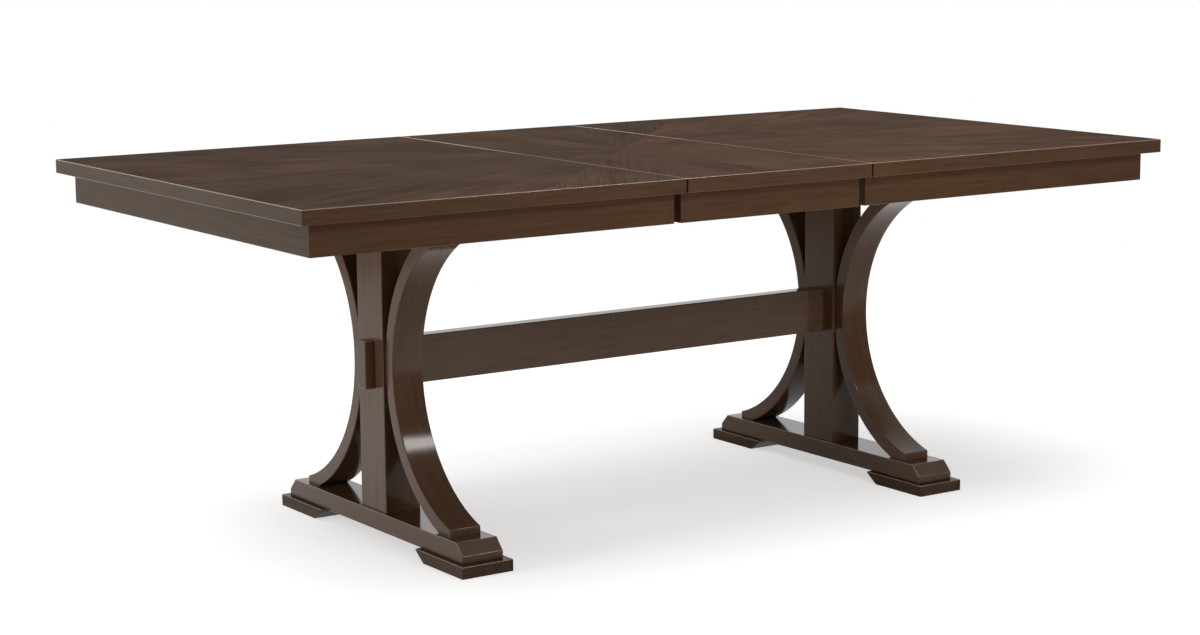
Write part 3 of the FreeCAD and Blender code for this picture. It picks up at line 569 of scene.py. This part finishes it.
def lipping(tree, settings):
    """Colour and pore depth of the solid edges round the veneer, greyer across the ends as painted shade."""
    normal = add(tree, "SeparateXYZ", {0: add(tree, "NewGeometry").outputs["Normal"]})
    sideways = add(tree, "Math", {0: normal.outputs["X"]}, operation="ABSOLUTE")
    end = add(tree, "Math", {0: sideways, 1: END_FACE}, operation="GREATER_THAN")
    along = add(tree, "Mix", {"Factor": end, "A": plank_place(tree, "X"), "B": plank_place(tree, "Y")},
                data_type="VECTOR")
    early = add(tree, "Mix", {"Factor": end, "A": settings.early_wood, "B": settings.shaded_end_early},
                data_type="RGBA")
    late = add(tree, "Mix", {"Factor": end, "A": settings.late_wood, "B": settings.shaded_end_late},
               data_type="RGBA")
    return wood_colour(tree, along, settings, early, late, PORE_STAIN, STREAK_LENGTH)


def joints(tree, place, upward, wood, settings):
    """Draws the two joints of the top over the wood: dark down the edges, and on top a painted highlight, a
    pale glint of the lacquer's rim that fades from the rear towards the front."""
    parts = add(tree, "SeparateXYZ", {0: place})
    off_middle = add(tree, "Math", {0: parts.outputs["X"]}, operation="ABSOLUTE")
    line = add(tree, "Math", {0: off_middle, 1: JOINT_X, 2: JOINT_LINE / 2}, operation="COMPARE")
    fade = add(tree, "MapRange", {"Value": parts.outputs["Y"], "From Min": GLINT_SPAN[0],
                                  "From Max": GLINT_SPAN[1], "To Min": FRONT_GLINT, "To Max": 1.0})
    # On top of the joint the pale glint is a painted highlight
    shown = add(tree, "Mix", {"Factor": upward, "A": 1.0, "B": fade})
    share = add(tree, "Math", {0: line, 1: shown}, operation="MULTIPLY")
    tint = add(tree, "Mix", {"Factor": upward, "A": settings.pores, "B": settings.joint_glint},
               data_type="RGBA")
    return add(tree, "Mix", {"Factor": share, "A": wood, "B": tint}, data_type="RGBA")


def top_veneer(name, settings):
    """Walnut veneer in a sunburst with solid edges, stained and lacquered. The film on the level face is
    rubbed down, so it mirrors little, and a pale line is painted on the arris round it as a highlight of the
    lacquer."""
    material, tree = shaded(name)
    place = add(tree, "TexCoord").outputs["Object"]
    veneer, veneer_pore = leaves(tree, place, settings)
    edging, edging_pore = lipping(tree, settings)
    level, upward = turned_up(tree, LEVEL_TILT), turned_up(tree, UPWARD_TILT)
    wood = add(tree, "Mix", {"Factor": level, "A": edging, "B": veneer}, data_type="RGBA")
    sloping = add(tree, "Math", {0: 1.0, 1: level}, operation="SUBTRACT")
    # Painted highlight: a pale line on the arris round the level face
    arris = add(tree, "Math", {0: upward, 1: sloping}, operation="MULTIPLY")
    wood = add(tree, "Mix", {"Factor": arris, "A": wood, "B": settings.arris}, data_type="RGBA")
    wood = joints(tree, place, upward, wood, settings)
    pore = add(tree, "Mix", {"Factor": level, "A": edging_pore, "B": veneer_pore})
    film = add(tree, "MapRange", {"Value": level, "To Min": 1.0, "To Max": settings.top_sheen})
    lacquer(tree, wood, pore, settings.gloss, film)
    return material


def plain_wood(name, light, dark, rough):
    """Unstained wood, planed or sawn, with soft rings and no film, so it stays dull and pale. Real rings
    are 3 mm apart and too fine to show, so they are drawn 17 mm apart."""
    per_metre, stretch = 60.0, 30
    material, tree = shaded(name)
    place = add(tree, "TexCoord").outputs["Object"]
    stretched = add(tree, "VectorMath", {0: place, 1: (per_metre / stretch, per_metre, per_metre)},
                    operation="MULTIPLY")
    ring = add(tree, "TexNoise", {"Vector": stretched, "Scale": 1.0, "Detail": 4.0})
    ramp = add(tree, "ValToRGB", {0: ring}, stops=((0.35, dark), (0.65, light)))
    saw = add(tree, "Bump", {"Strength": 0.3, "Distance": 0.0003, "Height": ring})
    shader = add(tree, "BsdfPrincipled", {"Base Color": ramp, "Roughness": rough, "Normal": saw})
    add(tree, "OutputMaterial", {"Surface": shader})
    return material


def moulded_nylon(name):
    """Natural nylon, moulded: creamy, slightly translucent, with a soft sheen and flow marks 17 mm long."""
    material, tree = shaded(name)
    place = add(tree, "TexCoord").outputs["Object"]
    flow = add(tree, "TexNoise", {"Vector": place, "Scale": 60.0, "Detail": 2.0})
    ramp = add(tree, "ValToRGB", {0: flow}, stops=((0.3, linear("#D9D3C2")), (0.7, linear("#E6E1D3"))))
    skin = add(tree, "Bump", {"Strength": 0.1, "Distance": 0.0002, "Height": flow})
    shader = add(tree, "BsdfPrincipled", {"Base Color": ramp, "Roughness": 0.42, "IOR": 1.53,
                                          "Subsurface Weight": 0.1, "Subsurface Radius": (0.002,) * 3,
                                          "Normal": skin})
    add(tree, "OutputMaterial", {"Surface": shader})
    return material


def zinc_plate(name):
    """Steel, zinc plated and passivated: grey, with a bluish bloom in patches of 5 mm and a dull gleam."""
    material, tree = shaded(name)
    place = add(tree, "TexCoord").outputs["Object"]
    bloom = add(tree, "TexNoise", {"Vector": place, "Scale": 220.0, "Detail": 3.0})
    ramp = add(tree, "ValToRGB", {0: bloom}, stops=((0.3, linear("#A9ABAE")), (0.7, linear("#C3C4C2"))))
    dull = add(tree, "MapRange", {"Value": bloom, "To Min": 0.28, "To Max": 0.46})
    shader = add(tree, "BsdfPrincipled", {"Base Color": ramp, "Metallic": 1.0, "Roughness": dull})
    add(tree, "OutputMaterial", {"Surface": shader})
    return material


def give(material, nodes):
    """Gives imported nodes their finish."""
    for name in nodes:
        for slot in frame["nodes"][name].material_slots:
            slot.material = material


# Studio


def seen(tree):
    """One where a ray comes from the camera, a mirror or clear glass."""
    path = add(tree, "LightPath").outputs
    either = add(tree, "Math", {0: path["Is Camera Ray"], 1: path["Is Glossy Ray"]}, operation="ADD")
    return add(tree, "Math", {0: either, 1: path["Is Transmission Ray"]}, operation="ADD", use_clamp=True)


def plate(name, points, faces, material):
    """A piece of the stage."""
    mesh = bpy.data.meshes.new(name)
    mesh.from_pydata(points, [], faces)
    mesh.materials.append(material)
    piece = bpy.data.objects.new(name, mesh)
    bpy.context.scene.collection.objects.link(piece)
    return piece


def floor_paint(settings):
    """White floor. The camera sees the paint with an even glow on it, as bright as in the photograph with
    the table's shadow kept, and far off it sees even white, which hides the horizon. Only the paint lights
    the table."""
    material, tree = shaded("Floor paint, matt")
    watched = seen(tree)
    tint = add(tree, "Mix", {"Factor": watched, "A": settings.floor_bounce, "B": settings.floor},
               data_type="RGBA")
    paint = add(tree, "BsdfDiffuse", {"Color": tint})
    glow = add(tree, "Math", {0: watched, 1: settings.glow}, operation="MULTIPLY")
    lit = add(tree, "AddShader", {0: paint, 1: add(tree, "Emission", {"Strength": glow})})
    white = add(tree, "Emission", {"Strength": 1.0})
    far = add(tree, "VectorMath", {0: add(tree, "TexCoord").outputs["Object"]}, operation="LENGTH")
    even = add(tree, "MapRange", {"Value": far, "From Min": EVEN_WHITE_REACH[0],
                                  "From Max": EVEN_WHITE_REACH[1]})
    share = add(tree, "Math", {0: watched, 1: even}, operation="MULTIPLY")
    add(tree, "OutputMaterial", {"Surface": add(tree, "MixShader", {0: share, 1: lit, 2: white})})
    reach = FLOOR_REACH
    plate("Floor", [(-reach, -reach, 0), (reach, -reach, 0), (reach, reach, 0), (-reach, reach, 0)],
          [(0, 1, 2, 3)], material)


def cloth(name, tint, points, faces):
    """Matt cloth out of the camera's sight, which only the lacquer mirrors. It stands for the dark hall
    around a lit set."""
    material, tree = shaded(name + ", matt")
    add(tree, "OutputMaterial", {"Surface": add(tree, "BsdfDiffuse", {"Color": tint})})
    piece = plate(name, points, faces, material)
    piece.visible_camera = piece.visible_diffuse = piece.visible_shadow = False
    piece.visible_transmission = False


def cloths(settings):
    """Cloth on the floor around what the camera sees, and a drape on an arc behind the camera."""
    for name, tint, outline in (("Black cloth", settings.black_cloth, FRONT_CLOTH),
                                ("Rear cloth", settings.grey_cloth, REAR_CLOTH)):
        cloth(name, tint, [(x, y, CLOTH_LIFT) for x, y in outline], [tuple(range(len(outline)))])
    turn = np.radians(np.linspace(*DRAPE_TURN, DRAPE_STEPS + 1))
    arc = DRAPE_RADIUS * np.stack([np.cos(turn), np.sin(turn)], axis=1)
    points = np.concatenate([np.pad(arc, ((0, 0), (0, 1)), constant_values=level)
                             for level in (0.0, DRAPE_HEIGHT)])
    side = np.arange(DRAPE_STEPS)
    above = side + len(arc)
    cloth("Black drape", settings.black_cloth, points,
          np.stack([side, side + 1, above + 1, above], axis=1).tolist())


def white_room(settings):
    """A room that lights the table dimly, and that the camera and the lacquer see white."""
    world = bpy.data.worlds.new("White room")
    bpy.context.scene.world = world
    world.use_nodes = True
    tree = world.node_tree
    tree.nodes.clear()
    dim = add(tree, "Background", {"Color": (1, 1, 1), "Strength": settings.surround})
    white = add(tree, "Background", {"Color": (1, 1, 1), "Strength": 1.0})
    add(tree, "OutputWorld", {"Surface": add(tree, "MixShader", {0: seen(tree), 1: dim, 2: white})})


def hung(name, light, towards):
    """Puts a light in the scene, its beam along a direction."""
    holder = bpy.data.objects.new(name, light)
    bpy.context.scene.collection.objects.link(holder)
    holder.rotation_euler = Vector(towards).to_track_quat("-Z", "Y").to_euler()
    return holder


def wide_lamp(name, direction, width, energy):
    """Even light from far off, spread over an angle."""
    light = bpy.data.lights.new(name, "SUN")
    light.energy = energy
    light.angle = width
    hung(name, light, -Vector(direction)).visible_glossy = False


def square_lamp(name, place, target, size, energy, mirrored):
    """A soft rectangular lamp that faces a target. It is either only mirrored, as a glint in the lacquer,
    or it lights the table and is not mirrored."""
    light = bpy.data.lights.new(name, "AREA")
    light.shape = "RECTANGLE"
    light.size, light.size_y = size
    light.energy = energy
    holder = hung(name, light, Vector(target) - Vector(place))
    holder.location = place
    holder.visible_glossy, holder.visible_diffuse = mirrored, not mirrored


# Operators


ENDS = ("left", "right")
SIDES = (("front", -1), ("rear", 1))


def boards_finish():
    """The finish of the pedestals' boards, made once."""
    name, settings = "Stained hardwood, lacquered", bpy.context.scene.table_wood
    return bpy.data.materials.get(name) or pedestal_board(name, settings, settings.early_wood,
                                                          settings.late_wood)


class TABLE_OT_legs(Operator):
    """Builds the four curved legs"""
    bl_idname = "table.legs"
    bl_label = "Curved legs"

    def execute(self, context):
        points, grain, faces = leg_grid(context.scene.table_boards)
        middle_z = (CLEAT_BOTTOM + BEAM_TOP) / 2
        unworn = np.zeros(len(points))
        for number, end in enumerate(ENDS):
            for side, across in SIDES:
                node = f"{end}_{side}_leg"
                low, high = corners(node, "XYZ")
                place = points * (1, -across, 1) + ((low[0] + high[0]) / 2, 0, middle_z)
                shift = np.array([number, across, 1]) * LEG_STEP
                leg = merged(node + "_board", place, faces, grain + shift, unworn)
                finished(leg, node, "base", boards_finish())
        return {"FINISHED"}


class TABLE_OT_pedestals(Operator):
    """Builds the foot pads, beams, cleats, posts and tenon blocks"""
    bl_idname = "table.pedestals"
    bl_label = "Pedestal boards"

    def execute(self, context):
        settings, wood = context.scene.table_boards, context.scene.table_wood
        thin = pedestal_board("Stained hardwood, thin lacquer", wood, wood.late_wood, wood.pad_wood, PAD_FILM)
        for number, end in enumerate(ENDS):
            for side, across in SIDES:
                node = f"{end}_{side}_foot_pad"
                prism = pad_prism(*corners(node, "YZX"), settings)
                pad = board(node + "_board", prism, "YZX", "Y", 3 * number + across)
                finished(pad, node, "base", thin)
            # Each row: piece, outline, axes of the prism and of the grain, which ends are eased, plank
            for piece, outline, axes, grain_axis, eased_ends, plank in (
                    ("foot_beam", beam_outline, "YZX", "Y", (True, True), 7),
                    ("top_cleat", cleat_outline, "YZX", "Y", (True, True), 9),
                    ("post", oblong, "XYZ", "Z", (False, False), 11),
                    ("tenon_block", oblong, "YZX", "X", (end == "left", end == "right"), 13)):
                node = f"{end}_{piece}"
                low, high = corners(node, axes)
                prism = eased_prism(outline(low, high), (low[2], high[2]), settings, eased_ends)
                straight = board(node + "_board", prism, axes, grain_axis, number + plank)
                finished(straight, node, "base", boards_finish())
        return {"FINISHED"}


class TABLE_OT_finishes(Operator):
    """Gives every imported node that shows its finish"""
    bl_idname = "table.finishes"
    bl_label = "Finishes"

    def execute(self, context):
        settings = context.scene.table_wood
        nodes = {}
        for part in frame["record"]["subparts"]:
            group = "shaded_end_boards" if "end_apron" in part["node"] else part["material_slot"]
            nodes.setdefault(group, []).append(part["node"])
        give(top_veneer("Sunburst veneer, lacquered", settings), nodes["top_veneer"])
        give(long_board("Stained hardwood, long boards", settings, "X"), nodes["stained_wood"])
        # The end boards' greyer colours are painted shade on the faces at the ends
        give(long_board("Stained hardwood, end boards", settings, "Y"), nodes["shaded_end_boards"])
        give(plain_wood("Hardwood, planed and waxed", settings.slide_wood, settings.slide_late, 0.5),
             nodes["slide_hardwood"])
        give(plain_wood("Softwood, sawn", settings.block_wood, settings.block_late, 0.8),
             nodes["block_softwood"])
        give(moulded_nylon("Nylon, moulded"), nodes["gear_nylon"])
        give(zinc_plate("Steel, zinc plated"), nodes["zinc_plated_steel"])
        return {"FINISHED"}


class TABLE_OT_studio(Operator):
    """Sets the floor, the room, the lamps and the camera"""
    bl_idname = "table.studio"
    bl_label = "Studio"

    def execute(self, context):
        settings, scene = context.scene.table_studio, context.scene
        floor_paint(settings)
        cloths(settings)
        white_room(settings)
        wide_lamp("Ceiling lamp", CEILING_DIRECTION, CEILING_WIDTH, settings.ceiling)
        for name, setting, place, target, size, mirrored in LAMPS:
            square_lamp(name, place, target, size, getattr(settings, setting), mirrored)
        camera = bpy.data.objects.new("Camera", bpy.data.cameras.new("Camera"))
        scene.collection.objects.link(camera)
        camera.data.lens = settings.focal_length
        aim = (Matrix.Rotation(CAMERA_TURN, 4, "Z") @ Matrix.Rotation(CAMERA_TILT, 4, "X")
               @ Matrix.Rotation(CAMERA_ROLL, 4, "Z"))
        camera.matrix_world = Matrix.Translation(CAMERA_PLACE) @ aim
        scene.camera = camera
        scene.view_settings.view_transform = "Standard"
        return {"FINISHED"}


class TABLE_PT_sidebar(Panel):
    """Lists the table's operators and settings"""
    bl_idname = "TABLE_PT_sidebar"
    bl_label = "Extending dining table"
    bl_space_type = "VIEW_3D"
    bl_region_type = "UI"
    bl_category = "Dining table"

    def draw(self, context):
        for operator in OPERATORS:
            self.layout.operator(operator.bl_idname)
        for group in GROUPS:
            settings = getattr(context.scene, group)
            for name in settings.bl_rna.properties.keys():
                if name not in ("rna_type", "name"):
                    self.layout.prop(settings, name)


OPERATORS = (TABLE_OT_studio, TABLE_OT_legs, TABLE_OT_pedestals, TABLE_OT_finishes)
GROUPS = {"table_wood": WoodSettings, "table_boards": BoardSettings, "table_studio": StudioSettings}


def register():
    """Registers the settings, operators and panel."""
    for kind in (*GROUPS.values(), *OPERATORS, TABLE_PT_sidebar):
        bpy.utils.register_class(kind)
    for name, kind in GROUPS.items():
        setattr(bpy.types.Scene, name, PointerProperty(type=kind))


def unregister():
    """Removes what register added, in reverse."""
    for name in GROUPS:
        delattr(bpy.types.Scene, name)
    for kind in (TABLE_PT_sidebar, *reversed(OPERATORS), *GROUPS.values()):
        bpy.utils.unregister_class(kind)


def main():
    """Builds the studio and the table."""
    register()
    bpy.ops.table.studio()
    bpy.ops.table.legs()
    bpy.ops.table.pedestals()
    bpy.ops.table.finishes()


if __name__ == "__main__":
    main()
